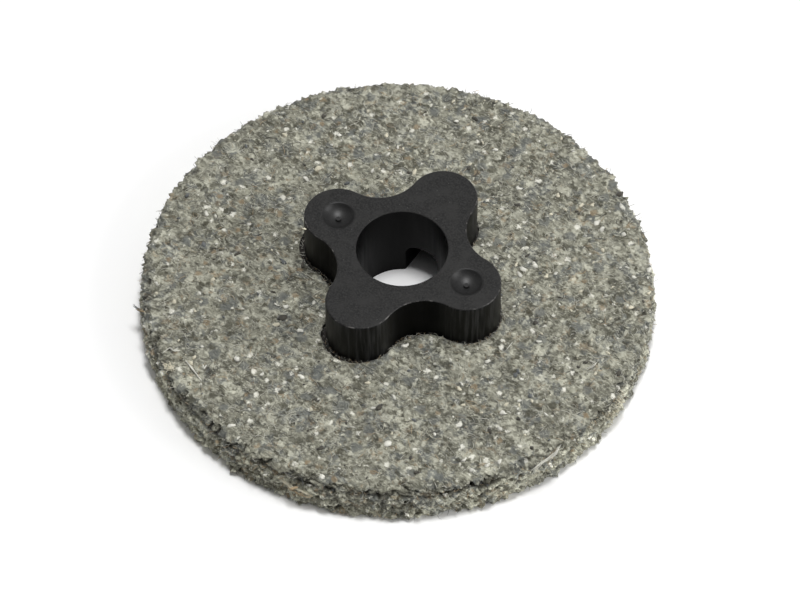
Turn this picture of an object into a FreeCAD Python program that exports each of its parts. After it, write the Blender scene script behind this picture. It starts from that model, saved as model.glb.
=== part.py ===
import FreeCAD, Part
import math
import os
import Sketcher

# Felt polishing wheel: a felt disc of two glued plies round a moulded plastic hub.
# Millimetres. The wheel lies on its underside at z = 0 and its axis is Z.
# The two lobes with dimples lie along X and the two lobes with drive slots lie along Y.

SIZES = [
    ("wheel_diameter", 125.0, "outside of the felt disc"),
    ("backing_thickness", 8.4, "thick lower felt ply"),
    ("facing_thickness", 1.8, "thin upper felt ply"),
    ("glue_line", 0.2, "glue layer between the plies"),
    ("glue_setback", 3.0, "the glue layer stops this far inside the rim"),
    ("shoulder_radius", 1.5, "worn upper edge of the facing ply"),
    ("heel_radius", 0.8, "lower edge of the backing ply"),
    ("hub_height", 23.5, "hub, from the felt's underside to its top face"),
    ("lobe_centre_radius", 18.4, "wheel axis to the centre of each lobe"),
    ("lobe_radius", 8.4, "outside radius of each lobe"),
    ("waist_radius", 10.5, "hollow radius between two lobes"),
    ("hub_edge_radius", 0.5, "rounding of the hub's top outer edge"),
    ("bond_gap", 0.3, "glue layer between the hub and the felt"),
    ("bond_recess", 0.6, "the hub glue stops this far inside both felt faces"),
    ("bore_diameter", 22.2, "spindle bore"),
    ("bore_chamfer", 0.15, "bevel at the top of the bore"),
    ("slot_width", 8.6, "drive slot across"),
    ("slot_offset", 1.0, "drive slot's centre line off the lobe's, anticlockwise from above"),
    ("slot_height", 8.9, "drive slot up from the underside"),
    ("slot_roof_radius", 2.2, "rounding of the drive slot's roof"),
    ("slot_mouth_radius", 0.8, "rounding of the doorway where a drive slot meets the bore"),
    ("dimple_diameter", 8.0, "mouth of the dimple's bowl"),
    ("dimple_depth", 1.9, "depth of the dimple's bowl"),
    ("dimple_rim_radius", 0.6, "rounding of the dimple's rim"),
    ("gate_diameter", 1.7, "gate stub at the bottom of a dimple"),
    ("gate_height", 0.6, "gate stub above the bottom of the bowl"),
    ("gate_root", 0.4, "gate stub sunk into the hub below the bowl"),
    ("gate_taper", 0.25, "gate stub narrower at its top by this much all round"),
]

LOBES = 4
START, END, CENTRE = 1, 2, 3
ORIGIN, X_AXIS, Y_AXIS = -1, -1, -2
NEAR = 1e-3

doc = FreeCAD.newDocument("felt_polishing_wheel")
sheet = doc.addObject("Spreadsheet::Sheet", "Sizes")


def fill_sheet():
    """Write every driving size into the sheet, one row each, under its own alias."""
    for row, (alias, value, note) in enumerate(SIZES, start=1):
        sheet.set("A%d" % row, alias)
        sheet.set("B%d" % row, str(value))
        sheet.set("C%d" % row, note)
        sheet.setAlias("B%d" % row, alias)
    doc.recompute()


def size(alias):
    """The present value of one size in the sheet."""
    return float(sheet.get(alias))


def new_body(label):
    """A body whose label names the sub-part's file."""
    body = doc.addObject("PartDesign::Body", label)
    body.Label = label
    return body


def new_sketch(body, name, role):
    """A sketch on one of the body's own origin planes."""
    sketch = body.newObject("Sketcher::SketchObject", name)
    plane = [item for item in body.Origin.OriginFeatures if item.Role == role][0]
    sketch.AttachmentSupport = [(plane, "")]
    sketch.MapMode = "FlatFace"
    return sketch


def origin_axis(body, role):
    """One of the body's own origin axes, as a feature reference."""
    axis = [item for item in body.Origin.OriginFeatures if item.Role == role][0]
    return (axis, [""])


def bind(sketch, name, constraint, expression):
    """Add a named dimension to a sketch and tie it to the sheet."""
    index = sketch.addConstraint(constraint)
    sketch.renameConstraint(index, name)
    sketch.setExpression("Constraints." + name, expression)


def add_circle(sketch, name, diameter, expression):
    """A circle round the sketch origin."""
    circle = sketch.addGeometry(Part.Circle(FreeCAD.Vector(0, 0, 0), FreeCAD.Vector(0, 0, 1), diameter / 2))
    sketch.addConstraint(Sketcher.Constraint("Coincident", circle, CENTRE, ORIGIN, START))
    bind(sketch, name, Sketcher.Constraint("Diameter", circle, diameter), expression)


def arc(centre, radius, first, last):
    """An arc, anticlockwise from the first angle to the last, in radians."""
    circle = Part.Circle(FreeCAD.Vector(centre[0], centre[1], 0), FreeCAD.Vector(0, 0, 1), radius)
    return Part.ArcOfCircle(circle, first, last)


def line(first, last):
    """A straight line between two points of a sketch."""
    return Part.LineSegment(FreeCAD.Vector(first[0], first[1], 0), FreeCAD.Vector(last[0], last[1], 0))


def add_lobed_outline(sketch, name, margin=None):
    """The hub's outline: four lobes joined by four hollow arcs, tangent all round.

    margin names a size by which the outline stands outside the hub's own wall.
    """
    offset = size(margin) if margin else 0.0
    extra = " + Sizes." + margin if margin else ""
    less = " - Sizes." + margin if margin else ""
    reach = size("lobe_centre_radius")
    lobe = size("lobe_radius")
    waist = size("waist_radius")
    half_step = math.pi / LOBES
    waist_reach = reach * math.cos(half_step)
    waist_reach += math.sqrt((lobe + waist) ** 2 - (reach * math.sin(half_step)) ** 2)
    # How far each arc runs either side of the line from the axis through its own centre.
    rise = waist_reach * math.sin(half_step)
    run = waist_reach * math.cos(half_step) - reach
    lobe_half = math.atan2(rise, run)
    waist_half = lobe_half - half_step

    lobes = []
    waists = []
    for step in range(LOBES):
        turn = 2 * half_step * step
        centre = (reach * math.cos(turn), reach * math.sin(turn))
        lobes.append(sketch.addGeometry(arc(centre, lobe + offset, turn - lobe_half, turn + lobe_half)))
        turn += half_step
        centre = (waist_reach * math.cos(turn), waist_reach * math.sin(turn))
        inward = turn + math.pi
        hollow = arc(centre, waist - offset, inward - waist_half, inward + waist_half)
        waists.append(sketch.addGeometry(hollow))

    for step in range(LOBES):
        following = (step + 1) % LOBES
        sketch.addConstraint(Sketcher.Constraint("Tangent", lobes[step], END, waists[step], END))
        sketch.addConstraint(Sketcher.Constraint("Tangent", waists[step], START, lobes[following], START))
        axis = X_AXIS if step % 2 == 0 else Y_AXIS
        kind = "DistanceX" if step % 2 == 0 else "DistanceY"
        sketch.addConstraint(Sketcher.Constraint("PointOnObject", lobes[step], CENTRE, axis))
        ends = (ORIGIN, START, lobes[step], CENTRE)
        if step >= LOBES // 2:
            ends = (lobes[step], CENTRE, ORIGIN, START)
        bind(sketch, "%s_reach_%d" % (name, step), Sketcher.Constraint(kind, *ends, reach),
             "Sizes.lobe_centre_radius")
    for step in range(1, LOBES):
        sketch.addConstraint(Sketcher.Constraint("Equal", lobes[0], lobes[step]))
        sketch.addConstraint(Sketcher.Constraint("Equal", waists[0], waists[step]))
    bind(sketch, name + "_lobe", Sketcher.Constraint("Radius", lobes[0], lobe + offset),
         "Sizes.lobe_radius" + extra)
    bind(sketch, name + "_waist", Sketcher.Constraint("Radius", waists[0], waist - offset),
         "Sizes.waist_radius" + less)


def add_polygon(sketch, points):
    """A closed loop of straight lines through the points; gives back the lines' numbers."""
    sides = [sketch.addGeometry(line(*ends)) for ends in zip(points, points[1:] + points[:1])]
    for side, following in zip(sides, sides[1:] + sides[:1]):
        sketch.addConstraint(Sketcher.Constraint("Coincident", side, END, following, START))
    return sides


def add_pad(body, name, sketch, expression):
    """Extrude a sketch upwards by a length tied to the sheet."""
    pad = body.newObject("PartDesign::Pad", name)
    pad.Profile = sketch
    pad.setExpression("Length", expression)
    doc.recompute()
    return pad


def edges_where(feature, test):
    """The names of the feature's edges that pass a test."""
    edges = feature.Shape.Edges
    return ["Edge%d" % number for number, edge in enumerate(edges, start=1) if test(edge)]


def level(edge, height):
    """True where the whole edge lies at one height."""
    box = edge.BoundBox
    return abs(box.ZMin - height) < NEAR and abs(box.ZMax - height) < NEAR


def on_bore(edge, radius):
    """True where the whole edge lies on the bore's wall."""
    return all(abs(math.hypot(point.x, point.y) - radius) < NEAR for point in edge.discretize(9))


def round_about(edge, radius):
    """True for an arc or circle of one radius."""
    return edge.Curve.TypeId == "Part::GeomCircle" and abs(edge.Curve.Radius - radius) < NEAR


def spread(edge):
    """How far the edge's furthest point lies from the wheel's axis."""
    return max(math.hypot(point.x, point.y) for point in edge.discretize(9))


def dress(body, kind, name, base, names, field, expression):
    """Round or bevel the named edges by a size tied to the sheet."""
    feature = body.newObject(kind, name)
    feature.Base = (base, names)
    feature.setExpression(field, expression)
    doc.recompute()
    return feature


def add_slot_outline(sketch, number, side):
    """One drive slot's outline: it starts in the bore and ends round, inside the lobe on one side."""
    half = size("slot_width") / 2
    reach = side * size("lobe_centre_radius")
    start = side * size("bore_diameter") / 4
    middle = -side * size("slot_offset")
    left = middle - side * half
    right = middle + side * half
    turn = 0 if side > 0 else math.pi
    far = sketch.addGeometry(arc((middle, reach), half, turn, turn + math.pi))
    leading = sketch.addGeometry(line((left, reach), (left, start)))
    closing = sketch.addGeometry(line((left, start), (right, start)))
    trailing = sketch.addGeometry(line((right, start), (right, reach)))
    sketch.addConstraint(Sketcher.Constraint("Tangent", far, END, leading, START))
    sketch.addConstraint(Sketcher.Constraint("Coincident", leading, END, closing, START))
    sketch.addConstraint(Sketcher.Constraint("Coincident", closing, END, trailing, START))
    sketch.addConstraint(Sketcher.Constraint("Tangent", trailing, END, far, START))
    sketch.addConstraint(Sketcher.Constraint("Vertical", leading))
    sketch.addConstraint(Sketcher.Constraint("Vertical", trailing))
    sketch.addConstraint(Sketcher.Constraint("Horizontal", closing))
    centre = (far, CENTRE)
    begin = (leading, END)
    axis = (ORIGIN, START)
    across = centre + axis if side > 0 else axis + centre
    along = axis + centre if side > 0 else centre + axis
    inward = axis + begin if side > 0 else begin + axis
    bind(sketch, "slot_radius_%d" % number, Sketcher.Constraint("Radius", far, half), "Sizes.slot_width / 2")
    bind(sketch, "slot_offset_%d" % number, Sketcher.Constraint("DistanceX", *across, abs(middle)),
         "Sizes.slot_offset")
    bind(sketch, "slot_reach_%d" % number, Sketcher.Constraint("DistanceY", *along, abs(reach)),
         "Sizes.lobe_centre_radius")
    bind(sketch, "slot_start_%d" % number, Sketcher.Constraint("DistanceY", *inward, abs(start)),
         "Sizes.bore_diameter / 4")


def make_drive_slots(body):
    """A blind drive slot up from the underside of each Y lobe, set off the same way round in both."""
    sketch = new_sketch(body, "SlotSketch", "XY_Plane")
    for number, side in enumerate((1, -1), start=1):
        add_slot_outline(sketch, number, side)
    pocket = body.newObject("PartDesign::Pocket", "DriveSlots")
    pocket.Profile = sketch
    pocket.Reversed = True
    pocket.setExpression("Length", "Sizes.slot_height")
    doc.recompute()

    bore = size("bore_diameter") / 2
    roof_height = size("slot_height")
    roof = edges_where(pocket, lambda edge: level(edge, roof_height) and spread(edge) > bore + NEAR)
    roofed = dress(body, "PartDesign::Fillet", "SlotRoof", pocket, roof, "Radius", "Sizes.slot_roof_radius")
    doorways = edges_where(roofed, lambda edge: on_bore(edge, bore) and not level(edge, 0)
                           and edge.CenterOfMass.z < roof_height + NEAR)
    return dress(body, "PartDesign::Fillet", "SlotMouth", roofed, doorways, "Radius",
                 "Sizes.slot_mouth_radius")


def dimple_sketch(body, name):
    """A sketch standing in the XZ plane with its vertical axis on the +X lobe's centre."""
    sketch = new_sketch(body, name, "XZ_Plane")
    sketch.setExpression(".AttachmentOffset.Base.x", "Sizes.lobe_centre_radius")
    return sketch


def make_dimples(body):
    """A round bowl in the top of each X lobe, with the stub of the moulding gate in it."""
    top = size("hub_height")
    depth = size("dimple_depth")
    half = size("dimple_diameter") / 2
    ball = (half ** 2 + depth ** 2) / (2 * depth)
    ball_centre = top - depth + ball
    bowl = dimple_sketch(body, "BowlSketch")
    lip = math.asin(half / ball)
    bottom = 3 * math.pi / 2
    curve = bowl.addGeometry(arc((0, ball_centre), ball, bottom, bottom + lip))
    corners = [(half, top), (half, top + depth), (0, top + depth), (0, top - depth)]
    lines = [bowl.addGeometry(line(*ends)) for ends in zip(corners, corners[1:])]
    loop = [curve] + lines
    for side, following in zip(loop, loop[1:] + loop[:1]):
        bowl.addConstraint(Sketcher.Constraint("Coincident", side, END, following, START))
    bowl.addConstraint(Sketcher.Constraint("Vertical", lines[0]))
    bowl.addConstraint(Sketcher.Constraint("Horizontal", lines[1]))
    bowl.addConstraint(Sketcher.Constraint("PointOnObject", curve, CENTRE, Y_AXIS))
    bowl.addConstraint(Sketcher.Constraint("PointOnObject", curve, START, Y_AXIS))
    bowl.addConstraint(Sketcher.Constraint("PointOnObject", lines[1], END, Y_AXIS))
    bind(bowl, "bowl_mouth", Sketcher.Constraint("DistanceX", ORIGIN, START, curve, END, half),
         "Sizes.dimple_diameter / 2")
    bind(bowl, "bowl_top", Sketcher.Constraint("DistanceY", ORIGIN, START, curve, END, top),
         "Sizes.hub_height")
    bind(bowl, "bowl_bottom", Sketcher.Constraint("DistanceY", ORIGIN, START, curve, START, top - depth),
         "Sizes.hub_height - Sizes.dimple_depth")
    bind(bowl, "bowl_clear", Sketcher.Constraint("DistanceY", lines[0], START, lines[0], END, depth),
         "Sizes.dimple_depth")
    groove = body.newObject("PartDesign::Groove", "Bowl")
    groove.Profile = bowl
    groove.ReferenceAxis = (bowl, ["V_Axis"])
    groove.Angle = 360
    doc.recompute()

    stub = dimple_sketch(body, "GateSketch")
    root = top - depth - size("gate_root")
    tip = top - depth + size("gate_height")
    wide = size("gate_diameter") / 2
    narrow = wide - size("gate_taper")
    lines = add_polygon(stub, [(0, root), (wide, root), (narrow, tip), (0, tip)])
    stub.addConstraint(Sketcher.Constraint("Horizontal", lines[0]))
    stub.addConstraint(Sketcher.Constraint("Horizontal", lines[2]))
    stub.addConstraint(Sketcher.Constraint("PointOnObject", lines[0], START, Y_AXIS))
    stub.addConstraint(Sketcher.Constraint("PointOnObject", lines[2], END, Y_AXIS))
    bind(stub, "gate_root", Sketcher.Constraint("DistanceY", ORIGIN, START, lines[0], START, root),
         "Sizes.hub_height - Sizes.dimple_depth - Sizes.gate_root")
    bind(stub, "gate_tip", Sketcher.Constraint("DistanceY", ORIGIN, START, lines[2], END, tip),
         "Sizes.hub_height - Sizes.dimple_depth + Sizes.gate_height")
    bind(stub, "gate_wide", Sketcher.Constraint("DistanceX", ORIGIN, START, lines[0], END, wide),
         "Sizes.gate_diameter / 2")
    bind(stub, "gate_narrow", Sketcher.Constraint("DistanceX", ORIGIN, START, lines[2], START, narrow),
         "Sizes.gate_diameter / 2 - Sizes.gate_taper")
    gate = body.newObject("PartDesign::Revolution", "GateStub")
    gate.Profile = stub
    gate.ReferenceAxis = (stub, ["V_Axis"])
    gate.Angle = 360
    doc.recompute()

    pair = body.newObject("PartDesign::PolarPattern", "DimplePair")
    pair.Originals = [groove, gate]
    pair.Axis = origin_axis(body, "Z_Axis")
    pair.Angle = 360
    pair.Occurrences = 2
    body.Tip = pair
    doc.recompute()

    rims = edges_where(pair, lambda edge: level(edge, top) and round_about(edge, half))
    return dress(body, "PartDesign::Fillet", "DimpleRims", pair, rims, "Radius", "Sizes.dimple_rim_radius")


def make_hub():
    """The moulded hub: lobed boss, bore, drive slots, dimples and softened edges."""
    body = new_body("hub")
    outline = new_sketch(body, "HubSketch", "XY_Plane")
    add_lobed_outline(outline, "wall")
    add_circle(outline, "bore", size("bore_diameter"), "Sizes.bore_diameter")
    add_pad(body, "Boss", outline, "Sizes.hub_height")
    make_drive_slots(body)
    dimpled = make_dimples(body)

    top = size("hub_height")
    bore = size("bore_diameter") / 2
    wall_radii = (size("lobe_radius"), size("waist_radius"))
    outer = edges_where(dimpled, lambda edge: level(edge, top) and spread(edge) > bore + NEAR
                        and any(round_about(edge, radius) for radius in wall_radii))
    rounded = dress(body, "PartDesign::Fillet", "TopEdge", dimpled, outer, "Radius", "Sizes.hub_edge_radius")
    mouth = edges_where(rounded, lambda edge: level(edge, top) and abs(spread(edge) - bore) < NEAR)
    dress(body, "PartDesign::Chamfer", "BoreMouth", rounded, mouth, "Size", "Sizes.bore_chamfer")
    return body


def make_layer(label, diameter, thickness, height):
    """A flat layer of the disc: a round outside, and a lobed hole that leaves room for the hub's glue."""
    body = new_body(label)
    sketch = new_sketch(body, label + "_sketch", "XY_Plane")
    add_circle(sketch, "outside", size("wheel_diameter"), diameter)
    add_lobed_outline(sketch, "hole", "bond_gap")
    layer = add_pad(body, label + "_layer", sketch, thickness)
    body.setExpression(".Placement.Base.z", height)
    doc.recompute()
    return body, layer


def soften_rim(body, name, layer, height, radius):
    """Round the layer's outer edge at one height."""
    reach = size("wheel_diameter") / 2
    rim = edges_where(layer, lambda edge: level(edge, height) and spread(edge) > reach - NEAR)
    return dress(body, "PartDesign::Fillet", name, layer, rim, "Radius", radius)


def make_felt_backing():
    """The thick lower ply, with its lower rim softened."""
    body, layer = make_layer("felt_backing", "Sizes.wheel_diameter", "Sizes.backing_thickness", "0")
    soften_rim(body, "Heel", layer, 0, "Sizes.heel_radius")
    return body


def make_ply_glue():
    """The glue layer between the plies, stopping short of the rim."""
    body, _ = make_layer("ply_glue", "Sizes.wheel_diameter - 2 * Sizes.glue_setback", "Sizes.glue_line",
                         "Sizes.backing_thickness")
    return body


def make_felt_facing():
    """The thin upper ply, with its worn upper rim."""
    body, layer = make_layer("felt_facing", "Sizes.wheel_diameter", "Sizes.facing_thickness",
                             "Sizes.backing_thickness + Sizes.glue_line")
    soften_rim(body, "Shoulder", layer, size("facing_thickness"), "Sizes.shoulder_radius")
    return body


def make_hub_bond():
    """The glue layer that fills the gap between the hub's wall and the felt."""
    body = new_body("hub_bond")
    sketch = new_sketch(body, "BondSketch", "XY_Plane")
    add_lobed_outline(sketch, "outside", "bond_gap")
    add_lobed_outline(sketch, "inside")
    add_pad(body, "Bond", sketch, "Sizes.backing_thickness + Sizes.glue_line + Sizes.facing_thickness"
            " - 2 * Sizes.bond_recess")
    body.setExpression(".Placement.Base.z", "Sizes.bond_recess")
    return body


def check_document():
    """Stop if any object of the document failed to build."""
    for item in doc.Objects:
        if "Invalid" in item.State or "Error" in item.State:
            raise RuntimeError("%s did not build: %s" % (item.Label, item.State))


fill_sheet()
sub_parts = [make_hub(), make_felt_backing(), make_ply_glue(), make_felt_facing(), make_hub_bond()]
doc.recompute()
check_document()

os.makedirs("parts", exist_ok=True)
for part in sub_parts:
    if part.Shape.isNull() or not part.Shape.isValid() or not part.Shape.Solids:
        raise RuntimeError(part.Label + " has no valid solid")
    part.Shape.exportStep("parts/%s.step" % part.Label)
    print(part.Label, round(part.Shape.Volume, 1), part.Shape.BoundBox)
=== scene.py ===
import math
import random
import bpy
import numpy as np
from mathutils import Euler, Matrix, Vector, noise


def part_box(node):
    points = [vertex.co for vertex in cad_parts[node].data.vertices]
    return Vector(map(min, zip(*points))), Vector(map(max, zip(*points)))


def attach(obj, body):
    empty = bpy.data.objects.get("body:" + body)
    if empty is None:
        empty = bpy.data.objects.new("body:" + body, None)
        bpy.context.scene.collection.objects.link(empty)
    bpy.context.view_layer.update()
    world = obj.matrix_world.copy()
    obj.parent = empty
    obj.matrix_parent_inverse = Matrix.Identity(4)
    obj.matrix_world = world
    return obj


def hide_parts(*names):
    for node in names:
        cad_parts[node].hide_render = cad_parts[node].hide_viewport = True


# Felt polishing wheel: the felt plies, their loose wool and every finish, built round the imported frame.
# Metres. The wheel lies on z = 0 with its axis on Z; dimpled lobes along X, slotted lobes along Y.

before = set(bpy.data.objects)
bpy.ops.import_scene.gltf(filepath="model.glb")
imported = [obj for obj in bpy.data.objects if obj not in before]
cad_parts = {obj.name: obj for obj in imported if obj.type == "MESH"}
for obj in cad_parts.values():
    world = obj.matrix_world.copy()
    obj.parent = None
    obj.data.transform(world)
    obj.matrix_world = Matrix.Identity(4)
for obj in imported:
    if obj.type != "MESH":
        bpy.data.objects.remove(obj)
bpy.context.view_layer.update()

MM = 0.001
FACING_LOW, FACING_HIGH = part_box("felt_facing")
BACKING_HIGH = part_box("felt_backing")[1]
HUB_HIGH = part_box("hub")[1]
LOBE_RADIUS = 8.4 * MM
WHEEL_RADIUS = FACING_HIGH.x
FELT_TOP = FACING_HIGH.z
SEAM_LOW = BACKING_HIGH.z
SEAM_HIGH = FACING_LOW.z
HUB_TOP = HUB_HIGH.z
DIMPLE_CENTRE = HUB_HIGH.x - LOBE_RADIUS

# The camera: turned 33 degrees about the axis from X, looking 54 degrees down.
VIEW_TURN = math.radians(32.96)
VIEW_RISE = math.radians(54.03)
VIEW_DISTANCE = 1.0625
VIEW_LENS = 194.6
RIGHT = Vector((math.cos(VIEW_TURN), math.sin(VIEW_TURN), 0))
AWAY = Vector((-math.sin(VIEW_TURN), math.cos(VIEW_TURN), 0))
UP = Vector((0, 0, 1))
LOOK_AT = RIGHT * (-0.5 * MM) + AWAY * (1.67 * MM)

# The light: a white tent with a dark opening, an overhead box and a weak box at the side.
TENT_LIGHT = 0.57
TENT_DARK = 0.08
DARK_TURN = math.radians(24)
KEY_PLACE = RIGHT * 0.05 + AWAY * 0.03 + UP * 1.10
KEY_WIDTH, KEY_POWER = 0.26, 8.6
SIDE_PLACE = RIGHT * 1.00 - AWAY * 0.35 + UP * 0.45
SIDE_WIDTH, SIDE_POWER = 0.70, 6.2

# Felt, as cut and worn.
RIM_WEAR = 0.3 * MM
RIM_RUNOUT = 1.1 * MM
SHOULDER = 2.4 * MM
HEEL = 0.9 * MM
HOLE_SLACK = 1.25 * MM
SEAM_SHUT = 0.25
SEAM_GAPS = ((-63, 22, 42), (-113, 8, 17))
AROUND = 900

# How many fibres and lumps lie on it.
FACE_FIBRES = 3400
RIM_FIBRES = 2600
HOLE_FIBRES = 700
LUMPS = 480
WEDGE_HAIRS = 70
TUFT_HAIRS = 44
FIBRE_KINDS = ("pale", "tan", "slate", "dark")
LUMP_KINDS = ("white", "cream", "slate", "dark")


def polar(points):
    """The direction and the distance of points from the wheel's axis."""
    return np.arctan2(points[:, 1], points[:, 0]), np.hypot(points[:, 0], points[:, 1])


def hole_radius(node, angles):
    """How far the ply's lobed hole reaches in each direction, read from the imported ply."""
    points = np.array([vertex.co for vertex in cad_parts[node].data.vertices])
    turn, reach = polar(points)
    wall = reach < 0.5 * WHEEL_RADIUS
    order = np.argsort(turn[wall])
    return np.interp(angles, turn[wall][order], reach[wall][order], period=2 * math.pi)


def rough(points, grain, octaves=3, offset=0.0):
    """Fractal noise at points, with lumps about one grain across, from about -1 to 1."""
    shift = Vector((offset, offset * 0.7, -offset))
    places = (Vector(point) / grain + shift for point in points)
    return np.array([noise.fractal(place, 1.0, 2.0, octaves) for place in places])


def smooth_step(value, low, high):
    """0 below low, 1 above high, and a smooth rise between."""
    share = np.clip((value - low) / (high - low), 0, 1)
    return share * share * (3 - 2 * share)


def grid_mesh(name, points, rows, columns):
    """A closed mesh whose points are rows of a profile, each row a full turn of columns."""
    row, column = np.meshgrid(np.arange(rows), np.arange(columns), indexing="ij")
    after = (column + 1) % columns
    above = (row + 1) % rows
    faces = np.stack([row * columns + column, row * columns + after,
                      above * columns + after, above * columns + column], axis=-1).reshape(-1, 4)
    mesh = bpy.data.meshes.new(name)
    mesh.from_pydata(points.tolist(), [], faces.tolist())
    mesh.update()
    piece = bpy.data.objects.new(name, mesh)
    bpy.context.scene.collection.objects.link(piece)
    mesh.polygons.foreach_set("use_smooth", [True] * len(mesh.polygons))
    return piece


def seam_opening(angles):
    """How open the seam between the plies is: two gaps along the rim, nearly shut elsewhere."""
    share = np.full(np.shape(angles), SEAM_SHUT)
    for middle, full, shut in SEAM_GAPS:
        away = np.abs((angles - math.radians(middle) + math.pi) % (2 * math.pi) - math.pi)
        share += (1 - SEAM_SHUT) * (1 - smooth_step(away, math.radians(full), math.radians(shut)))
    return np.minimum(share, 1.0)


def hole_gap(angles):
    """How far the felt stands off the hub on the side where the hole was cut too wide."""
    side = math.atan2(-RIGHT.y, -RIGHT.x) + math.radians(12)
    return HOLE_SLACK * smooth_step(np.cos(angles - side), 0.45, 0.95)


def rim_radius(angles):
    """The worn rim, trimmed slightly off the hub's centre."""
    centre = math.atan2(-RIGHT.y, -RIGHT.x)
    return WHEEL_RADIUS - RIM_WEAR + RIM_RUNOUT * np.cos(angles - centre)


def rim_profile(low, high, lower_round, upper_round, rows):
    """Points down the rim as (set back from the rim, height), from the upper round to the lower one."""
    setback = []
    height = []
    for step in np.linspace(0, 1, rows):
        z = high + (low - high) * step
        back = 0.0
        if z > high - upper_round[1]:
            share = (z - (high - upper_round[1])) / upper_round[1]
            back = upper_round[0] * (1 - math.sqrt(max(0.0, 1 - share * share)))
        if z < low + lower_round[1]:
            share = (low + lower_round[1] - z) / lower_round[1]
            back = max(back, lower_round[0] * (1 - math.sqrt(max(0.0, 1 - share * share))))
        setback.append(back)
        height.append(z)
    return np.array(setback), np.array(height)


def make_ply(name, node, low, high, face_rows, rim_rows, under_rows, lower_round, upper_round, face_up):
    """One felt ply: a ring round the lobed hub, with a torn rim, an open seam and a pitted face."""
    angles = np.linspace(0, 2 * math.pi, AROUND, endpoint=False)
    hole = hole_radius(node, angles)
    setback, height = rim_profile(low, high, lower_round, upper_round, rim_rows)
    outer = rim_radius(angles)
    rows = []
    for step in np.linspace(0, 1, face_rows, endpoint=False):
        edge = outer - setback[0]
        reach = hole + (edge - hole) * step
        rows.append((reach, np.full(AROUND, high)))
    for back, z in zip(setback, height):
        rows.append((outer - back, np.full(AROUND, z)))
    for step in np.linspace(0, 1, under_rows + 1)[1:]:
        edge = outer - setback[-1]
        rows.append((edge + (hole - edge) * step, np.full(AROUND, low)))
    for step in (1 / 3, 2 / 3):
        rows.append((hole, np.full(AROUND, low + (high - low) * step)))
    reach = np.array([row[0] for row in rows])
    z = np.array([row[1] for row in rows])
    turn = np.broadcast_to(angles, reach.shape)
    points = np.stack([reach * np.cos(turn), reach * np.sin(turn), z], axis=-1).reshape(-1, 3)

    on_rim = smooth_step(reach - (outer - 3.2 * MM), 0, 2.4 * MM).ravel()
    on_face = (np.arange(len(rows)) < face_rows + 2)[:, None] * np.ones(AROUND)
    under = (np.arange(len(rows)) >= face_rows + rim_rows)[:, None] * np.ones(AROUND)
    hole_edge = (1 - smooth_step(reach - hole, 0, 1.2 * MM)).ravel()

    # The wool lies in flat layers, so its clumps are longer than they are high.
    layered = points * np.array([1.0, 1.0, 1.7])
    coarse = rough(layered, 3.4 * MM, 2)
    middle = rough(layered, 1.5 * MM, 2, 7.0)
    fine = rough(layered, 0.62 * MM, 2, 19.0)
    # The rim is torn into clumps, with voids between them that open most along the seam.
    outward = 0.80 * MM * coarse + 1.05 * MM * middle + 0.60 * MM * fine
    voids = smooth_step(-middle + 0.4 * coarse, 0.30, 0.62)
    near_seam = np.exp(-((points[:, 2] - SEAM_HIGH) / (1.3 * MM)) ** 2)
    opening = np.tile(seam_opening(angles), len(rows))
    outward -= voids * (0.5 + 1.5 * near_seam * opening) * MM
    parted = near_seam * opening * smooth_step(coarse + 0.5 * middle, -0.45, 0.15)
    outward -= parted * 1.3 * MM
    radial = np.stack([np.cos(turn), np.sin(turn), np.zeros(turn.shape)], axis=-1).reshape(-1, 3)
    side = on_rim * (1 - under.ravel())
    points += radial * (outward * side)[:, None]
    # The hole's edge is frayed and stands off the hub unevenly.
    fray = 0.30 * MM * middle + 0.20 * MM * fine + 0.18 * MM
    gap = np.tile(hole_gap(angles), len(rows)) * (1 + 0.7 * coarse)
    points += radial * ((np.maximum(fray, -0.22 * MM) + gap) * hole_edge)[:, None]
    # The face waves gently and is pitted and fibrous.
    swell = rough(points, 16 * MM, 2, 3.0)
    lift = 0.12 * MM * swell + 0.16 * MM * coarse + 0.20 * MM * middle + 0.24 * MM * fine
    lift -= 0.25 * MM * hole_edge * smooth_step(coarse, -0.2, 0.6)
    if face_up:
        points[:, 2] += lift * on_face.ravel()
    else:
        points[:, 2] += np.abs(lift) * 0.4 * under.ravel() * (1 - hole_edge)
    points[:, 2] = np.maximum(points[:, 2], low)
    # Painted shade: the rim's voids, the open seam and the face's pits are stored darker on the mesh for
    # the felt's colour.
    painted_crevice_shade = side * (0.75 * voids + 0.85 * parted + 0.30 * smooth_step(-fine, 0.1, 0.5))
    painted_crevice_shade += (1 - side) * 0.22 * smooth_step(-middle - 0.6 * fine, 0.15, 0.6)
    piece = grid_mesh(name, points, len(rows), AROUND)
    attribute = piece.data.attributes.new("painted_crevice_shade", "FLOAT", "POINT")
    attribute.data.foreach_set("value", np.clip(painted_crevice_shade, 0, 1))
    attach(piece, "root")
    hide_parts(node)
    return piece


# ---- shader helpers -------------------------------------------------------------------------------

# Patches of fibre of one colour: tone, size, where the noise starts and is full, share, shift.
PATCHES = (
    ("light", 7.0 * MM, 0.50, 0.66, 0.42, (0.02, 0.05, 0.01)),
    ("slate", 5.0 * MM, 0.51, 0.60, 0.86, (0.0, 0.0, 0.0)),
    ("tan", 3.2 * MM, 0.59, 0.67, 0.62, (0.05, 0.02, 0.0)),
    ("light", 3.0 * MM, 0.54, 0.66, 0.60, (0.03, 0.0, 0.06)),
    ("dark", 3.0 * MM, 0.55, 0.65, 0.80, (0.0, 0.07, 0.03)),
)

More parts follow.
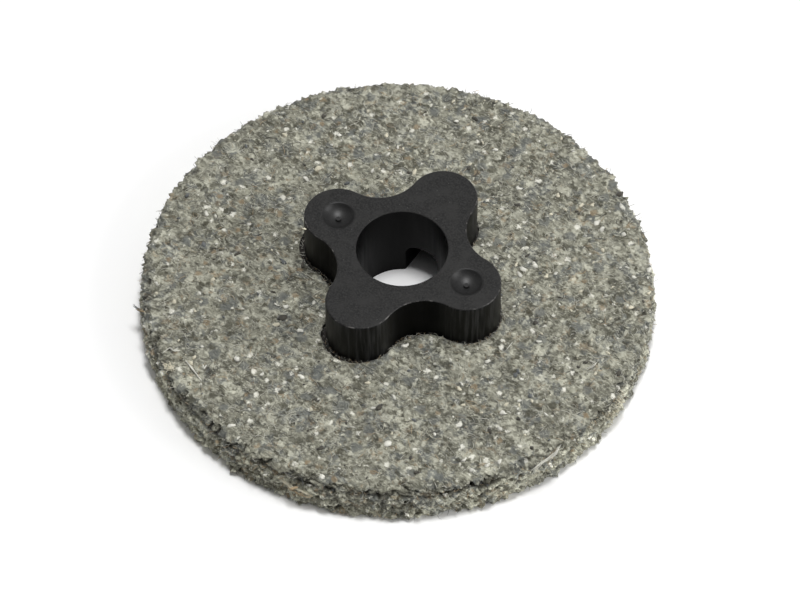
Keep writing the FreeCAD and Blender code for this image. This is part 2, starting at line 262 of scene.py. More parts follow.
# Flecks: the spacing of their grid, their size in it, tone, how few are chosen, share.
FLECKS = (
    (5.0 * MM, 0.25, "slate", 0.42, 0.68),
    (3.9 * MM, 0.24, "dark", 0.56, 0.68),
    (3.8 * MM, 0.15, "white", 0.64, 0.72),
    (4.4 * MM, 0.13, "tan", 0.70, 0.80),
    (2.3 * MM, 0.20, "white", 0.93, 0.60),
    (1.5 * MM, 0.22, "white", 0.95, 0.50),
    (1.3 * MM, 0.24, "light", 0.80, 0.80),
    (3.4 * MM, 0.22, "tan", 0.90, 0.70),
    (2.0 * MM, 0.28, "dark", 0.84, 0.80),
)


class Shader:
    """A material's node tree, with short calls for the nodes that this scene uses."""

    def __init__(self, name):
        self.material = bpy.data.materials.new(name)
        self.material.use_nodes = True
        self.tree = self.material.node_tree
        self.tree.nodes.clear()
        self.output = self.tree.nodes.new("ShaderNodeOutputMaterial")
        self.surface = self.tree.nodes.new("ShaderNodeBsdfPrincipled")
        self.tree.links.new(self.surface.outputs["BSDF"], self.output.inputs["Surface"])
        self.place = self.tree.nodes.new("ShaderNodeTexCoord").outputs["Object"]

    def put(self, socket, value):
        """Link a socket, or set it if the value is a plain number or colour."""
        if isinstance(value, bpy.types.NodeSocket):
            self.tree.links.new(value, socket)
        else:
            socket.default_value = value

    def math(self, operation, first, second=0.0, third=0.0):
        node = self.tree.nodes.new("ShaderNodeMath")
        node.operation = operation
        for socket, value in zip(node.inputs, (first, second, third)):
            self.put(socket, value)
        return node.outputs[0]

    def vector(self, operation, first, second=(0.0, 0.0, 0.0), scale=None):
        node = self.tree.nodes.new("ShaderNodeVectorMath")
        node.operation = operation
        self.put(node.inputs[0], first)
        self.put(node.inputs[1], second)
        if scale is not None:
            self.put(node.inputs["Scale"], scale)
        return node.outputs[0]

    def opposite(self, value):
        """1 where the value is 0, and 0 where it is 1."""
        return self.math("SUBTRACT", 1.0, value)

    def away_from(self, x, y):
        """The distance from the point where x and y are both 0."""
        squares = [self.math("MULTIPLY", value, value) for value in (x, y)]
        return self.math("SQRT", self.math("ADD", *squares))

    def split(self, vector):
        node = self.tree.nodes.new("ShaderNodeSeparateXYZ")
        self.put(node.inputs[0], vector)
        return node.outputs

    def noise(self, vector, grain, detail=2.0, roughness=0.5, colour=False):
        """Noise with lumps about one grain across."""
        node = self.tree.nodes.new("ShaderNodeTexNoise")
        self.put(node.inputs["Vector"], vector)
        node.inputs["Scale"].default_value = 1 / grain
        node.inputs["Detail"].default_value = detail
        node.inputs["Roughness"].default_value = roughness
        return node.outputs["Color" if colour else "Fac"]

    def nudged(self, vector, shift, most):
        """The vector moved by a noise colour, by up to about half of most."""
        centred = self.vector("SUBTRACT", shift, (0.5, 0.5, 0.5))
        node = self.tree.nodes.new("ShaderNodeVectorMath")
        node.operation = "MULTIPLY_ADD"
        self.put(node.inputs[0], centred)
        node.inputs[1].default_value = (most, most, most)
        self.put(node.inputs[2], vector)
        return node.outputs[0]

    def cells(self, vector, grain):
        """Scattered points one grain apart: the distance to the nearest, and its random colour."""
        node = self.tree.nodes.new("ShaderNodeTexVoronoi")
        self.put(node.inputs["Vector"], vector)
        node.inputs["Scale"].default_value = 1 / grain
        return node.outputs["Distance"], node.outputs["Color"]

    def turned(self, vector, turn, stretch):
        """The vector turned about Z and stretched, so that noise on it makes short fibres."""
        node = self.tree.nodes.new("ShaderNodeMapping")
        self.put(node.inputs["Vector"], vector)
        node.inputs["Rotation"].default_value = (turn * 0.3, turn * 0.2, turn)
        node.inputs["Scale"].default_value = stretch
        return node.outputs[0]

    def between(self, value, low, high):
        """0 where the value is at low, 1 at high, smoothly."""
        node = self.tree.nodes.new("ShaderNodeMapRange")
        node.interpolation_type = "SMOOTHSTEP"
        self.put(node.inputs["Value"], value)
        node.inputs["From Min"].default_value = low
        node.inputs["From Max"].default_value = high
        return node.outputs[0]

    def mix(self, share, first, second, blend="MIX"):
        node = self.tree.nodes.new("ShaderNodeMix")
        node.data_type = "RGBA"
        node.blend_type = blend
        self.put(node.inputs["Factor"], share)
        colours = [socket for socket in node.inputs if socket.type == "RGBA"]
        self.put(colours[0], first)
        self.put(colours[1], second)
        return [socket for socket in node.outputs if socket.type == "RGBA"][0]

    def tinted(self, colour, tone, share, value, low, high):
        """The colour with a share of a tone over it where the value goes from low to high."""
        return self.mix(self.math("MULTIPLY", self.between(value, low, high), share), colour, tone)

    def bump(self, height, distance, strength=1.0):
        node = self.tree.nodes.new("ShaderNodeBump")
        node.inputs["Strength"].default_value = strength
        node.inputs["Distance"].default_value = distance
        self.put(node.inputs["Height"], height)
        self.put(self.surface.inputs["Normal"], node.outputs[0])


def darkened(tone, share):
    """A colour with each part brought down to a share of itself."""
    return tuple(share * part for part in tone[:3]) + (1.0,)


def grey(level, warmth=0.0):
    """A linear grey, warmed or cooled a little."""
    return (level * (1 + warmth), level, level * (1 - warmth), 1.0)


FELT_TONES = {
    "base": (0.212, 0.209, 0.164, 1.0),
    "dark": (0.062, 0.059, 0.041, 1.0),
    "light": (0.53, 0.525, 0.43, 1.0),
    "slate": (0.122, 0.130, 0.124, 1.0),
    "tan": (0.255, 0.195, 0.120, 1.0),
    "white": (0.90, 0.885, 0.79, 1.0),
}


def felt_material(name, lift):
    """Pressed shoddy felt: mixed fibres, patches and flecks, painted light on the rim by lift, and painted
    shade in hollows.
    """
    felt = Shader(name)
    dark = FELT_TONES["dark"]
    light = FELT_TONES["light"]
    wander = felt.noise(felt.place, 2.2 * MM, 2.0, colour=True)
    fray = felt.noise(felt.place, 0.5 * MM, 1.0, colour=True)
    curled = felt.nudged(felt.place, wander, 1.6 * MM)
    frayed = felt.nudged(curled, fray, 0.55 * MM)

    worn = felt.between(felt.noise(felt.place, 14 * MM, 2.0), 0.35, 0.65)
    colour = felt.mix(worn, FELT_TONES["base"], darkened(FELT_TONES["base"], 0.86))
    for tone, grain, low, high, share, shift in PATCHES:
        patch = felt.noise(felt.vector("ADD", frayed, shift), grain, 2.5, 0.6)
        colour = felt.tinted(colour, FELT_TONES[tone], share, patch, low, high)

    # Wide paler and darker areas, kept in step with the colours under them.
    for grain, swing in ((3.6 * MM, 1.9), (8.0 * MM, 1.3)):
        level = felt.noise(felt.vector("ADD", curled, (0.04, grain, 0.0)), grain, 1.5, 0.5)
        level = felt.math("MULTIPLY_ADD", level, swing, 1 - 0.5 * swing)
        colour = felt.vector("SCALE", colour, scale=level)

    # Clumps of fibre a millimetre or so across, then the strands, then the finest grain.
    clumps = felt.noise(frayed, 1.30 * MM, 1.5, 0.55)
    colour = felt.tinted(colour, dark, 0.78, clumps, 0.48, 0.30)
    colour = felt.tinted(colour, light, 0.68, clumps, 0.54, 0.72)
    height = clumps
    for number in range(4):
        turn = math.pi * (number + 0.3) / 4
        shifted = felt.vector("ADD", curled, (0.013 * number, 0.031 * number, 0))
        strands = felt.noise(felt.turned(shifted, turn, (0.36, 1.0, 1.0)), 0.56 * MM, 1.0, 0.5)
        colour = felt.tinted(colour, light, 0.36, strands, 0.60, 0.72)
        colour = felt.tinted(colour, dark, 0.32, strands, 0.40, 0.28)
        height = felt.math("ADD", height, strands)
    grain = felt.noise(frayed, 0.42 * MM, 2.0, 0.7)
    colour = felt.tinted(colour, dark, 0.25, grain, 0.48, 0.30)
    colour = felt.tinted(colour, light, 0.22, grain, 0.52, 0.72)

    for number, (spacing, size, tone, chosen, share) in enumerate(FLECKS):
        shift = (0.011 * number, 0.0, 0.017 * number)
        ragged = felt.vector("ADD", felt.nudged(frayed, fray, 0.5 * MM), shift)
        distance, tint = felt.cells(ragged, spacing)
        spot = felt.math("MULTIPLY", felt.between(distance, size + 0.09, size - 0.04),
                         felt.math("GREATER_THAN", felt.split(tint)[0], chosen))
        colour = felt.mix(felt.math("MULTIPLY", spot, share), colour, FELT_TONES[tone])

    # Painted light: the outer band of the rim is brightened by lift, as light on its sideways face.
    x, y, z = felt.split(felt.place)
    outermost = felt.between(felt.away_from(x, y), WHEEL_RADIUS - 2.6 * MM, WHEEL_RADIUS - 0.8 * MM)
    rim = felt.math("MULTIPLY", outermost, felt.between(z, FELT_TOP - 0.5 * MM, FELT_TOP - 2.2 * MM))
    colour = felt.vector("SCALE", colour, scale=felt.math("MULTIPLY_ADD", rim, lift, 1.0))
    # Painted shade: the colour is multiplied darker where the mesh's attribute marks voids, the open seam
    # and pits.
    painted_shade_attribute = felt.tree.nodes.new("ShaderNodeAttribute")
    painted_shade_attribute.attribute_name = "painted_crevice_shade"
    painted_crevice_shade = felt.between(painted_shade_attribute.outputs["Fac"], 0.0, 1.0)
    colour = felt.mix(painted_crevice_shade, colour, (0.10, 0.095, 0.080, 1.0), "MULTIPLY")
    felt.put(felt.surface.inputs["Base Color"], colour)
    felt.surface.inputs["Roughness"].default_value = 0.95
    felt.surface.inputs["Specular IOR Level"].default_value = 0.12
    felt.surface.inputs["Sheen Weight"].default_value = 0.12
    felt.surface.inputs["Sheen Roughness"].default_value = 0.6
    felt.bump(felt.math("ADD", height, felt.math("MULTIPLY", grain, 1.5)), 0.16 * MM, 1.0)
    return felt.material


def hub_material():
    """Black moulded plastic: matt top, edges pale with wear and painted highlight; smoother walls with
    faint tool marks, painted shade and painted highlights.
    """
    plastic = Shader("hub_plastic")
    x, y, z = plastic.split(plastic.place)
    reach = plastic.away_from(x, y)
    facing = plastic.split(plastic.tree.nodes.new("ShaderNodeNewGeometry").outputs["Normal"])[2]
    upright = plastic.between(facing, 0.75, 0.35)
    above = plastic.between(z, HUB_TOP - 0.08 * MM, HUB_TOP - 0.02 * MM)
    below = plastic.opposite(above)
    from_dimple = plastic.away_from(plastic.math("SUBTRACT", plastic.math("ABSOLUTE", x), DIMPLE_CENTRE), y)
    bowl = plastic.between(from_dimple, 4.9 * MM, 4.2 * MM)
    sunk = plastic.math("MULTIPLY", bowl, below)
    wall = plastic.math("MULTIPLY", upright, plastic.opposite(bowl))
    lobe = plastic.between(reach, 17.6 * MM, 21.5 * MM)

    speckle = plastic.noise(plastic.place, 0.45 * MM, 3.0, 0.65)
    cloud = plastic.noise(plastic.place, 4.5 * MM, 3.0, 0.6)
    colour = plastic.mix(plastic.between(speckle, 0.35, 0.70), grey(0.0100), grey(0.027, 0.02))
    colour = plastic.mix(plastic.between(cloud, 0.4, 0.75), colour, grey(0.025, 0.02))

    # The outer edge is painted pale in places, as rubbed wear and as painted highlight on the edge's round.
    edge = plastic.math("MULTIPLY", plastic.between(z, HUB_TOP - 0.62 * MM, HUB_TOP - 0.20 * MM), below)
    edge = plastic.math("MULTIPLY", edge, plastic.between(reach, 13.0 * MM, 14.5 * MM))
    edge = plastic.math("MULTIPLY", edge, plastic.opposite(bowl))
    scuffs_and_glints = plastic.noise(plastic.place, 1.4 * MM, 4.0, 0.7)
    worn = plastic.math("MULTIPLY", edge, plastic.between(scuffs_and_glints, 0.50, 0.66))
    colour = plastic.mix(plastic.math("MULTIPLY", worn, 0.7), colour, grey(0.15, 0.05))

    # Specks of dust.
    distance, tint = plastic.cells(plastic.place, 1.1 * MM)
    dust = plastic.math("MULTIPLY", plastic.between(distance, 0.12, 0.05),
                        plastic.math("GREATER_THAN", plastic.split(tint)[0], 0.86))
    colour = plastic.mix(plastic.math("MULTIPLY", dust, 0.5), colour, grey(0.16, 0.03))

    # Upright streaks of painted highlight on the walls, strongest on the ends of the lobes; between the
    # lobes the walls are painted near black as painted shade.
    streaks = plastic.noise(plastic.turned(plastic.place, 0.0, (1.0, 1.0, 0.06)), 0.8 * MM, 3.0, 0.6)
    painted_streak_light = plastic.math("MULTIPLY", plastic.between(streaks, 0.42, 0.70),
                          plastic.math("MULTIPLY_ADD", lobe, 0.9, 0.1))
    colour = plastic.mix(wall, colour, plastic.mix(painted_streak_light, grey(0.0012), grey(0.030)))
    # Painted shade: the dimples' bowls are darkened.
    colour = plastic.mix(plastic.math("MULTIPLY", sunk, 0.6), colour, grey(0.006))
    plastic.put(plastic.surface.inputs["Base Color"], colour)

    finish = plastic.math("MULTIPLY_ADD", plastic.between(streaks, 0.3, 0.7), 0.16, 0.34)
    matt = plastic.math("MULTIPLY_ADD", cloud, 0.12, 0.58)
    roughness = plastic.mix(above, plastic.mix(bowl, finish, grey(0.44)), matt)
    plastic.put(plastic.surface.inputs["Roughness"], roughness)
    shaded = plastic.math("MULTIPLY", wall, plastic.math("SUBTRACT", 1.3, lobe))
    shine = plastic.math("MULTIPLY_ADD", shaded, -0.10, 0.18)
    shine = plastic.math("MULTIPLY_ADD", sunk, 0.20, shine)
    plastic.put(plastic.surface.inputs["Specular IOR Level"], shine)
    plastic.bump(plastic.math("MULTIPLY_ADD", streaks, 0.6, speckle), 0.03 * MM, 0.5)
    return plastic.material


def glue_material():
    """Old contact glue, amber turned nearly black, with lumps."""
    glue = Shader("glue")
    lumps = glue.noise(glue.place, 1.2 * MM, 3.0, 0.6)
    amber = glue.mix(glue.between(lumps, 0.35, 0.7), (0.010, 0.008, 0.006, 1.0), (0.030, 0.021, 0.012, 1.0))
    glue.put(glue.surface.inputs["Base Color"], amber)
    glue.put(glue.surface.inputs["Roughness"], glue.math("MULTIPLY_ADD", lumps, 0.4, 0.25))
    glue.bump(lumps, 0.1 * MM, 0.6)
    return glue.material


def wool_material(name, tone, variation):
    """Loose wool of one colour, varied a little from place to place."""
    wool = Shader(name)
    tint = wool.noise(wool.place, 1.8 * MM, 2.0, 0.6)
    darker = darkened(tone, 1 - variation)
    wool.put(wool.surface.inputs["Base Color"], wool.mix(wool.between(tint, 0.35, 0.65), darker, tone))
    wool.put(wool.surface.inputs["Roughness"], wool.math("MULTIPLY_ADD", tint, 0.2, 0.7))
    wool.surface.inputs["Sheen Weight"].default_value = 0.2
    return wool.material


# ---- loose fibres and flecks ----------------------------------------------------------------------

def face_height(x, y):
    """About how high the felt's face is at a place."""
    swell = noise.fractal(Vector((x, y, FELT_TOP)) / (16 * MM) + Vector((3.0, 2.1, -3.0)), 1.0, 2.0, 2)
    return FELT_TOP + 0.10 * MM * swell


class Wool:
    """Collects many fibres and flecks of one colour into one mesh."""

    def __init__(self):
        self.points = []
        self.faces = []

    def strand(self, path, thick, sides=3):
        """A thin tapered tube along a list of points."""
        start = len(self.points)
        last = len(path) - 1
        for number, point in enumerate(path):
            along = (path[min(number + 1, last)] - path[max(number - 1, 0)]).normalized()
            across = along.cross(Vector((0.3, 0.2, 1.0))).normalized()
            over = across.cross(along)
            half = 0.5 * thick * (0.35 + 0.65 * math.sin(math.pi * (number + 0.5) / (last + 1)))
            for side in range(sides):
                turn = 2 * math.pi * side / sides
                self.points.append(point + (across * math.cos(turn) + over * math.sin(turn)) * half)
        for number in range(last):
            for side in range(sides):
                first = start + number * sides + side
                following = start + number * sides + (side + 1) % sides
                self.faces.append((first, following, following + sides, first + sides))
        self.faces.append(tuple(start + side for side in reversed(range(sides))))
        self.faces.append(tuple(start + last * sides + side for side in range(sides)))

    def lump(self, centre, half, turn, chance):
        """A small ragged blob, longest along the direction it is turned to."""
        start = len(self.points)
        rings, around = 3, 7
        spin = Euler((chance.gauss(0, 0.15), chance.gauss(0, 0.15), turn)).to_matrix()
        self.points.append(centre + spin @ Vector((0, 0, half[2])))
        for ring in range(1, rings + 1):
            fall = math.pi * ring / (rings + 1)
            for step in range(around):
                swing = 2 * math.pi * step / around
                ragged = chance.uniform(0.55, 1.25)
                level = math.sin(fall)
                out = Vector((half[0] * level * math.cos(swing), half[1] * level * math.sin(swing),
                              half[2] * math.cos(fall)))
                self.points.append(centre + spin @ (out * ragged))
        self.points.append(centre - spin @ Vector((0, 0, half[2])))
        last = len(self.points) - 1
        for step in range(around):
            following = (step + 1) % around
            self.faces.append((start, start + 1 + step, start + 1 + following))
            for ring in range(rings - 1):
                low = start + 1 + ring * around
                under = low + around
                self.faces.append((low + step, under + step, under + following, low + following))
            low = start + 1 + (rings - 1) * around
            self.faces.append((low + step, last, low + following))

    def piece(self, name, material):
        mesh = bpy.data.meshes.new(name)
        mesh.from_pydata(self.points, [], self.faces)
        mesh.update()
        mesh.polygons.foreach_set("use_smooth", [True] * len(mesh.polygons))
        mesh.materials.append(material)
        piece = bpy.data.objects.new(name, mesh)
        bpy.context.scene.collection.objects.link(piece)
        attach(piece, "root")


def curly_path(chance, start, heading, length, steps, curl, lift):
    """A wandering path: it starts at a point and turns by chance as it goes."""
    path = [start]
    turn = chance.uniform(-curl, curl)
    for step in range(steps):
        heading = Euler((0, 0, turn + chance.gauss(0, curl * 0.5))).to_matrix() @ heading
        heading.z += lift * (0.5 - step / steps) * 2 + chance.gauss(0, 0.05)
        heading.normalize()
        path.append(path[-1] + heading * (length / steps))
    return path


def hole_at(angle):
    """How far the felt's hole reaches in one direction."""
    return float(np.interp(angle % (2 * math.pi), HOLE_ANGLES, HOLE_REACH))


def lay_face_fibres(heaps, chance):
    """Fibres lying on the face."""
    for _ in range(FACE_FIBRES):
        kind = chance.choices(FIBRE_KINDS, (0.50, 0.12, 0.12, 0.26))[0]
        angle = chance.uniform(-math.pi, math.pi)
        inner = hole_at(angle) + 0.6 * MM
        reach = math.sqrt(chance.uniform(inner ** 2, (WHEEL_RADIUS - 2.5 * MM) ** 2))
        x, y = reach * math.cos(angle), reach * math.sin(angle)
        start = Vector((x, y, face_height(x, y) + chance.uniform(-0.02, 0.10) * MM))
        heading = Vector((1, 0, 0.02))
        heading.rotate(Euler((0, 0, chance.uniform(0, 2 * math.pi))))
        path = curly_path(chance, start, heading, chance.uniform(0.9, 3.4) * MM, 6, 0.45, 0.05)
        for point in path:
            point.z = min(max(point.z, face_height(point.x, point.y) - 0.02 * MM), FELT_TOP + 0.5 * MM)
        heaps[kind].strand(path, chance.uniform(0.05, 0.15) * MM)


def stand_rim_fibres(heaps, chance):
    """Fibres standing out of the rim."""
    for _ in range(RIM_FIBRES):
        kind = chance.choices(FIBRE_KINDS, (0.30, 0.22, 0.13, 0.35))[0]
        angle = chance.uniform(-math.pi, math.pi)
        z = chance.uniform(0.2 * MM, FELT_TOP - 0.4 * MM)
        reach = float(rim_radius(np.array([angle]))[0]) - 0.6 * MM
        start = Vector((reach * math.cos(angle), reach * math.sin(angle), z))
        heading = Vector((math.cos(angle), math.sin(angle), chance.gauss(0, 0.4)))
        heading.rotate(Euler((0, 0, chance.gauss(0, 1.0))))
        length = chance.uniform(0.8, 2.4) * MM
        path = curly_path(chance, start, heading.normalized(), length, 6, 0.55, 0.0)
        for point in path:
            point.z = max(point.z, 0.1 * MM)
        heaps[kind].strand(path, chance.uniform(0.06, 0.17) * MM)


def fringe_hole(heaps, chance):
    """Short fibres round the hole, kept clear of the hub."""
    for _ in range(HOLE_FIBRES):
        kind = chance.choices(FIBRE_KINDS, (0.35, 0.15, 0.1, 0.40))[0]
        angle = chance.uniform(-math.pi, math.pi)
        reach = hole_at(angle) + chance.uniform(0.1, 0.9) * MM
        start = Vector((reach * math.cos(angle), reach * math.sin(angle), FELT_TOP - 0.15 * MM))
        heading = Vector((-math.cos(angle), -math.sin(angle), 0.25))
        heading.rotate(Euler((0, 0, chance.gauss(0, 1.0))))
        length = chance.uniform(0.5, 1.4) * MM
        path = curly_path(chance, start, heading.normalized(), length, 5, 0.5, 0.1)
        for point in path:
            clear = hole_at(math.atan2(point.y, point.x)) - 0.25 * MM
            reach = math.hypot(point.x, point.y)
            if reach < clear:
                point.x *= clear / reach
                point.y *= clear / reach
        heaps[kind].strand(path, chance.uniform(0.06, 0.14) * MM)


def make_wool(materials):
    """Loose fibres on the face, the rim and the edge of the hole, one piece for each colour."""
    chance = random.Random(41)
    heaps = {kind: Wool() for kind in FIBRE_KINDS}
    lay_face_fibres(heaps, chance)
    stand_rim_fibres(heaps, chance)
    fringe_hole(heaps, chance)
    for kind, heap in heaps.items():
        heap.piece("loose_wool_" + kind, materials[kind])


def smooth_path(corners, steps=4):
    """Points along a smooth curve through the corners."""
    ends = [corners[0] * 2 - corners[1]] + list(corners) + [corners[-1] * 2 - corners[-2]]
    path = []
    for before, first, second, after in zip(ends, ends[1:], ends[2:], ends[3:]):
        for step in range(steps):
            t = step / steps
            square = 2 * before - 5 * first + 4 * second - after
            cube = 3 * first - before - 3 * second + after
            path.append(0.5 * (2 * first + (second - before) * t + square * t ** 2 + cube * t ** 3))
    path.append(corners[-1])
    return path


def laid(right, away, height):
    """A point so many mm to the camera's right of the axis, away from it, and above the floor."""
    return (RIGHT * right + AWAY * away + UP * height) * MM


# Lumps that stand out: wool, right, away, height, half length, half width, turn from the right.
ODD_LUMPS = (
    ("white", 23.1, -53.0, 10.5, 1.1, 0.5, 1.2),
    ("white", -3.6, -48.0, 10.5, 1.2, 0.9, 0.2),
    ("white", -28.1, -7.9, 10.5, 1.2, 0.8, 0.1),
    ("cream", -30.5, -13.3, 10.5, 1.7, 0.7, 0.1),
    ("dark", -28.8, -11.2, 10.45, 1.5, 0.9, 0.1),
    ("white", -39.7, -23.4, 10.5, 0.9, 0.8, 0.0),
    ("white", -33.6, -28.0, 10.5, 0.8, 0.5, 0.5),
    ("white", -23.8, 31.2, 10.5, 1.2, 0.6, -0.7),
    ("white", -24.6, -15.1, 10.5, 0.9, 0.7, 0.3),
    ("white", 20.5, -24.2, 10.5, 1.2, 0.6, 0.9),
    ("cream", -55.6, -26.0, 10.3, 1.0, 0.8, 0.6),
    ("cream", -56.8, -25.0, 10.1, 0.8, 0.7, 0.2),
    ("tan", -25.5, -58.2, 6.9, 1.2, 0.4, 0.3),
)
# Threads that stand out: wool, thickness, how many alike, their wander, and the curve's corners.
ODD_THREADS = (
    ("white", 0.50, 1, 0.0, ((-51.9, -24.2, 10.6), (-50.2, -26.7, 10.8), (-47.9, -30.1, 10.6))),
    ("white", 0.22, 1, 0.0, ((25.1, -20.9, 10.6), (25.9, -19.9, 11.0), (26.6, -18.7, 10.8))),
    ("white", 0.15, 6, 0.5,
     ((31.0, -55.0, 9.4), (33.2, -52.9, 10.2), (36.0, -51.0, 10.0), (37.4, -48.4, 10.2))),
    ("white", 0.16, 4, 0.4,
     ((-57.4, -21.4, 10.2), (-56.0, -20.4, 10.7), (-54.8, -21.6, 10.9), (-53.8, -20.6, 10.7))),
    ("white", 0.16, 4, 0.5,
     ((43.8, -26.6, 10.7), (45.2, -26.4, 11.0), (46.2, -25.2, 10.9), (45.0, -24.2, 10.7))),
    ("cream", 0.13, 5, 0.4,
     ((-28.8, -56.2, 7.6), (-26.4, -57.7, 6.8), (-23.8, -58.8, 6.4), (-21.6, -59.4, 5.2))),
    ("tan", 0.16, 4, 0.4,
     ((-26.6, -57.8, 6.4), (-24.6, -58.8, 5.4), (-22.6, -59.3, 4.9), (-21.2, -59.8, 5.9))),
    ("slate", 0.20, 6, 0.35,
     ((-65.4, -6.0, 8.4), (-64.0, -7.2, 8.2), (-62.4, -8.3, 8.4), (-60.8, -9.0, 8.7))),
    ("tan", 0.16, 5, 0.45, ((-64.6, -6.9, 8.2), (-63.4, -7.6, 8.5), (-61.6, -8.8, 8.6))),
)


def scatter_lumps(heaps, chance):
    """Lumps pressed into the face, and every fourth one into the rim; half of them have a second lump."""
    for number in range(LUMPS):
        kind = chance.choices(LUMP_KINDS, (0.36, 0.26, 0.14, 0.24))[0]
        angle = chance.uniform(-math.pi, math.pi)
        turn = chance.uniform(0, math.pi)
        length = chance.choice((0.26, 0.35, 0.46, 0.62, 0.88)) * MM * chance.uniform(0.8, 1.25)
        half = (length, length * chance.uniform(0.45, 0.85), 0.20 * MM + 0.2 * length)
        if number % 4 == 0:
            reach = float(rim_radius(np.array([angle]))[0]) - 0.55 * MM
            x, y = reach * math.cos(angle), reach * math.sin(angle)
            height = chance.uniform(0.6, 9.2) * MM
            half = (half[2], half[0], 0.7 * half[1])
            turn = angle
        else:
            inner = hole_at(angle) + 0.9 * MM
            reach = math.sqrt(chance.uniform(inner ** 2, (WHEEL_RADIUS - 1.8 * MM) ** 2))
            x, y = reach * math.cos(angle), reach * math.sin(angle)
            edge = smooth_step(reach, WHEEL_RADIUS - 2.8 * MM, WHEEL_RADIUS - 0.8 * MM)
            height = face_height(x, y) + 0.06 * MM - 0.7 * MM * edge
        place = Vector((x, y, height))
        heaps[kind].lump(place, half, turn, chance)
        if chance.random() < 0.5:
            side = Vector((math.cos(turn), math.sin(turn), 0)) * length * chance.uniform(0.6, 0.9)
            heaps[kind].lump(place + side, tuple(0.6 * part for part in half), turn + 0.6, chance)


def place_odd_ones(heaps, chance):
    """The lumps and threads that stand out."""
    for kind, right, away, height, length, width, turn in ODD_LUMPS:
        half = (length * MM, width * MM, 0.36 * MM)
        heaps[kind].lump(laid(right, away, height), half, VIEW_TURN + turn, chance)
    for kind, thick, copies, wander, corners in ODD_THREADS:
        for _ in range(copies):
            bent = []
            for right, away, height in corners:
                aside, along, lift = (chance.uniform(-wander, wander) for _ in range(3))
                bent.append(laid(right + aside, away + along, height + 0.6 * lift))
            heaps[kind].strand(smooth_path(bent), thick * MM, 4)


def place_tufts(heaps, chance):
    """A torn wedge standing out of the rim at the right, a tuft on the edge at the left, and lint."""
    for _ in range(WEDGE_HAIRS):
        turn = math.radians(chance.uniform(-37.5, -31.0))
        foot = laid(60.4 * math.cos(turn), 60.4 * math.sin(turn), chance.uniform(3.5, 8.0))
        out = chance.uniform(0.9, 2.7)
        tip = foot + laid(out * math.cos(turn), out * math.sin(turn), chance.gauss(0, 0.7))
        bend = (foot + tip) / 2 + laid(0, chance.gauss(0, 0.5), chance.gauss(0, 0.4))
        heaps["cream"].strand(smooth_path((foot, bend, tip)), 0.30 * MM, 3)
    for _ in range(TUFT_HAIRS):
        foot = laid(-56.0 + chance.uniform(-1.1, 1.3), -25.8 + chance.uniform(-1.3, 1.3), 10.25)
        tip = foot + laid(chance.uniform(-1.4, 1.0), chance.uniform(-0.9, 0.9), chance.uniform(-0.5, 0.4))
        bend = (foot + tip) / 2 + laid(0, 0, 0.35)
        heaps["cream"].strand(smooth_path((foot, bend, tip)), 0.24 * MM, 3)
    lint = (0.7 * MM, 0.35 * MM, 0.2 * MM)
    heaps["cream"].lump(laid(-23.6, 5.8, HUB_TOP / MM + 0.05), lint, VIEW_TURN - 0.6, chance)


def make_flecks(materials):
    """Lumps and threads of unspun waste, most of them white or cream, one piece for each colour."""
    chance = random.Random(17)
    heaps = {kind: Wool() for kind in (*LUMP_KINDS, "tan")}
    scatter_lumps(heaps, chance)
    place_odd_ones(heaps, chance)
    place_tufts(heaps, chance)
    for kind, heap in heaps.items():
        heap.piece("waste_wool_" + kind, materials[kind])


# ---- stage ----------------------------------------------------------------------------------------

def make_floor():
    mesh = bpy.data.meshes.new("floor")
    half = 3.0
    corners = [(-half, -half, 0), (half, -half, 0), (half, half, 0), (-half, half, 0)]
    mesh.from_pydata(corners, [], [(0, 1, 2, 3)])
    floor = bpy.data.objects.new("floor", mesh)
    bpy.context.scene.collection.objects.link(floor)
    paper = Shader("floor_paper")
    paper.surface.inputs["Base Color"].default_value = (0.94, 0.94, 0.94, 1.0)
    paper.surface.inputs["Roughness"].default_value = 0.9
    paper.surface.inputs["Specular IOR Level"].default_value = 0.1
    floor.data.materials.append(paper.material)
    floor.location.z = -0.02 * MM


def make_softbox(name, place, aim, width, power):
    light = bpy.data.lights.new(name, "AREA")
    light.shape = "SQUARE"
    light.size = width
    light.energy = power
    lamp = bpy.data.objects.new(name, light)
    lamp.location = place
    lamp.rotation_euler = (aim - place).to_track_quat("-Z", "Y").to_euler()
    bpy.context.scene.collection.objects.link(lamp)


def make_sky():
    """A white tent all round, dark where it opens, a little to the left of the camera."""
    world = bpy.data.worlds.new("studio")
    world.use_nodes = True
    tree = world.node_tree
    tree.nodes.clear()
    output = tree.nodes.new("ShaderNodeOutputWorld")
    light = tree.nodes.new("ShaderNodeBackground")
    where = tree.nodes.new("ShaderNodeTexCoord")
    towards = tree.nodes.new("ShaderNodeVectorMath")
    towards.operation = "DOT_PRODUCT"
    towards.inputs[1].default_value = -AWAY * math.cos(DARK_TURN) - RIGHT * math.sin(DARK_TURN)
    fall = tree.nodes.new("ShaderNodeMapRange")
    fall.interpolation_type = "SMOOTHSTEP"
    fall.inputs["From Min"].default_value = 0.15
    fall.inputs["From Max"].default_value = 0.70
    fall.inputs["To Min"].default_value = TENT_LIGHT
    fall.inputs["To Max"].default_value = TENT_DARK
    tree.links.new(where.outputs["Generated"], towards.inputs[0])
    tree.links.new(towards.outputs["Value"], fall.inputs["Value"])
    tree.links.new(fall.outputs[0], light.inputs["Strength"])
    tree.links.new(light.outputs[0], output.inputs["Surface"])
    bpy.context.scene.world = world


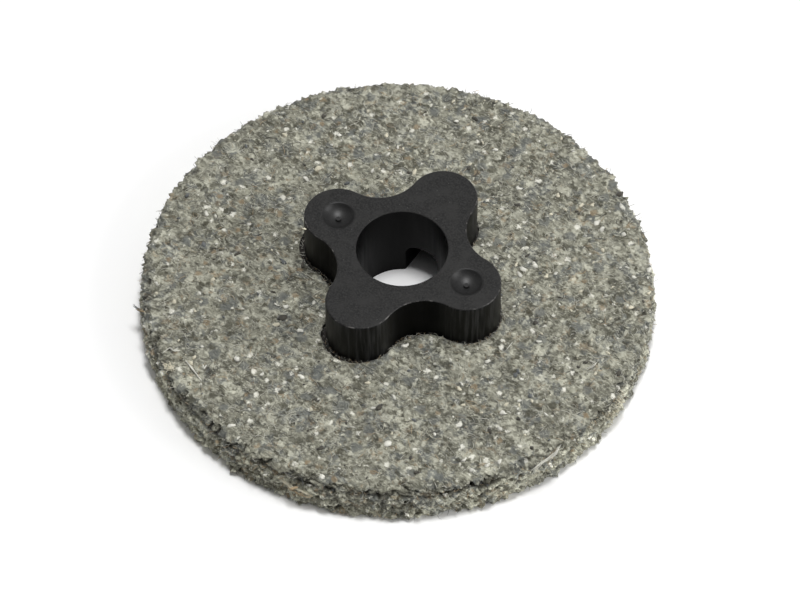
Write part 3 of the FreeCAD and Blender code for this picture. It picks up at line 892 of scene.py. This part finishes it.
def make_camera():
    camera = bpy.data.cameras.new("camera")
    camera.lens = VIEW_LENS
    camera.sensor_width = 36
    camera.clip_end = 20
    view = bpy.data.objects.new("camera", camera)
    back = -AWAY * math.cos(VIEW_RISE) + UP * math.sin(VIEW_RISE)
    view.location = LOOK_AT + back * VIEW_DISTANCE
    view.rotation_euler = (-back).to_track_quat("-Z", "Y").to_euler()
    bpy.context.scene.collection.objects.link(view)
    bpy.context.scene.camera = view


def paint(node, material):
    """Give a CAD node a finish."""
    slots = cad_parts[node].data.materials
    slots.clear()
    slots.append(material)


make_camera()
make_sky()
make_floor()
middle = Vector((0, 0, 0))
make_softbox("key", KEY_PLACE, middle, KEY_WIDTH, KEY_POWER)
make_softbox("side", SIDE_PLACE, middle, SIDE_WIDTH, SIDE_POWER)
bpy.context.scene.view_settings.view_transform = "Standard"

HOLE_ANGLES = np.linspace(0, 2 * math.pi, 720)
HOLE_REACH = hole_radius("felt_facing", HOLE_ANGLES)

facing = make_ply("felt_face_ply", "felt_facing", SEAM_HIGH, FELT_TOP,
                  face_rows=100, rim_rows=12, under_rows=6,
                  lower_round=(1.0 * MM, 0.6 * MM), upper_round=(SHOULDER, 1.7 * MM), face_up=True)
# lift: how far each ply's rim is brightened, as painted light.
facing.data.materials.append(felt_material("facing_felt", lift=0.55))
backing = make_ply("felt_back_ply", "felt_backing", 0.0, SEAM_LOW,
                   face_rows=6, rim_rows=34, under_rows=60,
                   lower_round=(HEEL, HEEL), upper_round=(0.8 * MM, 0.9 * MM), face_up=False)
backing.data.materials.append(felt_material("backing_felt", lift=0.80))

wools = {
    "white": wool_material("wool_white", (0.74, 0.73, 0.65, 1.0), 0.35),
    "cream": wool_material("wool_cream", (0.66, 0.62, 0.48, 1.0), 0.3),
    "pale": wool_material("wool_pale", (0.60, 0.59, 0.51, 1.0), 0.3),
    "tan": wool_material("wool_tan", (0.46, 0.35, 0.21, 1.0), 0.35),
    "slate": wool_material("wool_slate", (0.125, 0.134, 0.134, 1.0), 0.35),
    "dark": wool_material("wool_dark", (0.06, 0.055, 0.042, 1.0), 0.4),
}
make_wool(wools)
make_flecks(wools)

paint("hub", hub_material())
glue = glue_material()
paint("ply_glue", glue)
paint("hub_bond", glue)
